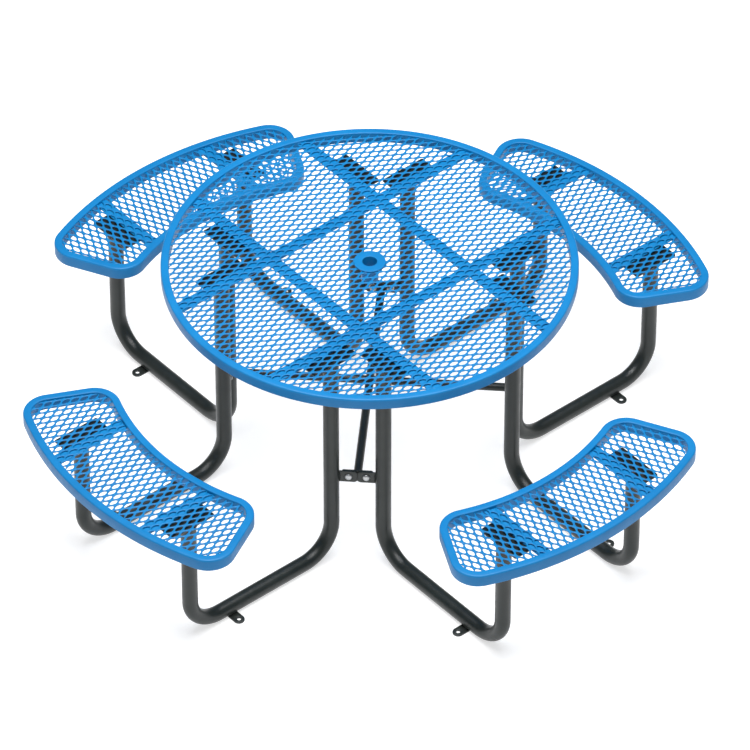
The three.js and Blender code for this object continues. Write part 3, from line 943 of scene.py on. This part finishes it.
def hexagon(across_corners, low, high):
    """A hexagonal head or nut with its corners taken off at both faces."""
    radius = across_corners / 2
    return spun([
        (radius - HEXAGON_CHAMFER, low),
        (radius, low + HEXAGON_CHAMFER),
        (radius, high - HEXAGON_CHAMFER),
        (radius - HEXAGON_CHAMFER, high),
    ], steps=6)


def washer(low, high):
    return turned_about_z(rounded([
        (BOLT_RADIUS, low, WASHER_EDGE_RADIUS),
        (WASHER_RADIUS, low, WASHER_EDGE_RADIUS),
        (WASHER_RADIUS, high, WASHER_UPPER_EDGE_RADIUS),
        (BOLT_RADIUS, high, WASHER_EDGE_RADIUS),
    ], steps=2), ROUND_SIDES)


def thread(low, high):
    """A threaded stem, as a stack of ridges one pitch apart."""
    root = BOLT_RADIUS - THREAD_DEPTH
    profile = [(root, low)]
    z = low
    while z + THREAD_PITCH < high:
        profile.append((BOLT_RADIUS, z + THREAD_PITCH / 2))
        profile.append((root, z + THREAD_PITCH))
        z += THREAD_PITCH
    profile.append((root, high))
    return spun(profile, BOLT_SIDES)


def dome(low):
    """A low round bolt head, flat side down."""
    rise = DOME_HEIGHT - DOME_SKIRT
    profile = [(DOME_RADIUS, low), (DOME_RADIUS, low + DOME_SKIRT)]
    for step in range(1, DOME_STEPS):
        turn = QUARTER_TURN * step / DOME_STEPS
        profile.append((DOME_RADIUS * math.cos(turn), low + DOME_SKIRT + rise * math.sin(turn)))
    profile.append((DOME_TIP_RADIUS, low + DOME_HEIGHT))
    return spun(profile)


def plate_bolt(strap_top):
    """A hexagon-headed bolt with a washer under a plate at z = 0, screwed up into the strap over it."""
    head_low = -WASHER_THICKNESS - BOLT_HEAD_THICKNESS
    end = strap_top - BOLT_END_DEPTH
    return together(
        hexagon(NUT_ACROSS_CORNERS, head_low, -WASHER_THICKNESS),
        washer(-WASHER_THICKNESS, 0),
        spun([
            (BOLT_RADIUS, -WASHER_THICKNESS),
            (BOLT_RADIUS, end - BOLT_END_CHAMFER),
            (BOLT_RADIUS - BOLT_END_CHAMFER, end),
        ], BOLT_SIDES),
    )


def tie_bolt():
    """A dome-headed bolt with its washer and nut. Its head bears on the ears' outer face at z = 0."""
    grip = EAR_THICKNESS + FIT_GAP + END_PLATE_THICKNESS
    nut_top = -grip - WASHER_THICKNESS
    nut_bottom = nut_top - NUT_THICKNESS
    return together(
        dome(0),
        washer(nut_top, -grip),
        hexagon(NUT_ACROSS_CORNERS, nut_bottom, nut_top),
        thread(nut_bottom - THREAD_TAIL, THREAD_REACH_INTO_HEAD),
    )


def add_tie_bolts():
    bolt = tie_bolt()
    for pair in range(1, 5):
        corner = turn_z((2 * pair - 1) * EIGHTH_TURN)
        for letter, y in (("a", -TIE_BOLT_REACH), ("b", TIE_BOLT_REACH)):
            place = Matrix.Translation((PAIR_OUT + EAR_THICKNESS / 2, y, TIE_HEIGHT))
            placing = corner @ place @ Matrix.Rotation(QUARTER_TURN, 4, "Y")
            shown = piece(f"dome_bolt_{pair}{letter}", bolt, ZINC, placing)
            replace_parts(shown, f"tie_bolt_{pair}{letter}")


# ---- braces, made along +X and turned onto a diagonal ----

def end_plate():
    """A plate across the +X end of a brace, with a hole for each bolt of the pair."""
    half_width = END_PLATE_WIDTH / 2
    half_height = END_PLATE_HEIGHT / 2
    outline = rounded_rectangle(-half_width, -half_height, half_width, half_height, PLATE_CORNER_RADIUS)
    holes = [circle(BOLT_HOLE_RADIUS, HOLE_SIDES, side * TIE_BOLT_REACH, 0) for side in (-1, 1)]
    plate = flat_plate(outline, -END_PLATE_THICKNESS, 0, holes)
    upright = turn_z(QUARTER_TURN) @ Matrix.Rotation(QUARTER_TURN, 4, "X")
    return moved(plate, Matrix.Translation((END_PLATE_FACE, 0, TIE_HEIGHT)) @ upright)


def brace_end():
    """One end of a brace: its end plate and the weld round the bar."""
    ring = weld_round_tube(Vector((0, 0, 0)), BRACE_RADIUS + WELD_STAND_OFF)
    upright = Matrix.Translation((END_PLATE_BACK, 0, TIE_HEIGHT)) @ Matrix.Rotation(QUARTER_TURN, 4, "Y")
    return together(end_plate(), moved(ring, upright))


def add_braces():
    """A brace that runs through, and the other one in two halves that start inside it."""
    crossing = Vector((0, 0, TIE_HEIGHT))
    reach = Vector((END_PLATE_BACK, 0, 0))
    long_brace = together(
        round_bar(crossing - reach, crossing + reach, BRACE_RADIUS),
        brace_end(),
        moved(brace_end(), turn_z(math.pi)),
    )
    shown = piece("cross_brace_long", long_brace, CHARCOAL, turn_z(EIGHTH_TURN))
    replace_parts(shown, "brace_long")
    start = crossing + Vector((BRACE_RADIUS / 2, 0, 0))
    half_brace = together(round_bar(start, crossing + reach, BRACE_RADIUS), brace_end())
    for number, turn in ((1, 3 * EIGHTH_TURN), (2, 7 * EIGHTH_TURN)):
        shown = piece(f"cross_brace_half_{number}", half_brace, CHARCOAL, turn_z(turn))
        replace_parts(shown, f"brace_half_{number}")


# ---- camera, floor and light ----

CAMERA_PLACE = Vector((-9.481, -11.254, 13.332))
CAMERA_AIM = Vector((0.4832, 0.5724, -0.6626))
CAMERA_LENS_MM = 333.2
CAMERA_SEES_TO = 200

FLOOR_HALF = 60.0
FLOOR_GLOW = 0.62  # emission that keeps the floor near white
WORLD_STRENGTH = 0.30
LAMP_PLACE = Vector((-0.3, -0.4, 6.0))
LAMP_SIZE = 5.0
LAMP_WATTS = 620


def add_camera():
    camera = bpy.data.cameras.new("camera")
    camera.lens = CAMERA_LENS_MM
    camera.clip_end = CAMERA_SEES_TO
    holder = bpy.data.objects.new("camera", camera)
    holder.location = CAMERA_PLACE
    holder.rotation_mode = "QUATERNION"
    holder.rotation_quaternion = CAMERA_AIM.to_track_quat("-Z", "Y")
    bpy.context.scene.collection.objects.link(holder)
    bpy.context.scene.camera = holder


def floor_material():
    """A pale floor with a glow of its own, so that it stays near white under the table."""
    ground = Shading("floor")
    cloudy = ground.ramp(ground.noise(scale=0.6, detail=3), 0.3, 0.7, 0, 1)
    ground.feed("Base Color", ground.blend(cloudy, (0.58, 0.58, 0.58), (0.62, 0.62, 0.62)))
    ground.set("Roughness", 0.9)
    ground.set("Specular IOR Level", 0.1)
    ground.set("Emission Color", (1, 1, 1, 1))
    ground.set("Emission Strength", FLOOR_GLOW)
    return ground.material


def add_floor():
    half = FLOOR_HALF
    mesh = bpy.data.meshes.new("floor")
    corners = [(-half, -half, 0), (half, -half, 0), (half, half, 0), (-half, half, 0)]
    mesh.from_pydata(corners, [], [(0, 1, 2, 3)])
    mesh.materials.append(floor_material())
    floor = bpy.data.objects.new("floor", mesh)
    bpy.context.scene.collection.objects.link(floor)


def add_lamp():
    """One large round lamp overhead, aimed at the origin."""
    light = bpy.data.lights.new("overhead", "AREA")
    light.shape = "DISK"
    light.size = LAMP_SIZE
    light.energy = LAMP_WATTS
    holder = bpy.data.objects.new("overhead", light)
    holder.location = LAMP_PLACE
    holder.rotation_mode = "QUATERNION"
    holder.rotation_quaternion = (-LAMP_PLACE).to_track_quat("-Z", "Y")
    bpy.context.scene.collection.objects.link(holder)


def add_world():
    world = bpy.data.worlds.new("studio")
    world.use_nodes = True
    background = world.node_tree.nodes["Background"]
    background.inputs["Color"].default_value = (1, 1, 1, 1)
    background.inputs["Strength"].default_value = WORLD_STRENGTH
    bpy.context.scene.world = world
    bpy.context.scene.view_settings.view_transform = "Standard"


add_camera()
add_floor()
add_world()
add_lamp()
add_rims()
add_expanded_metal()
add_collar()
add_table_straps()
add_seat_straps()
add_legs()
add_anchor_tabs()
add_ears()
add_plates()
add_braces()
add_tie_bolts()
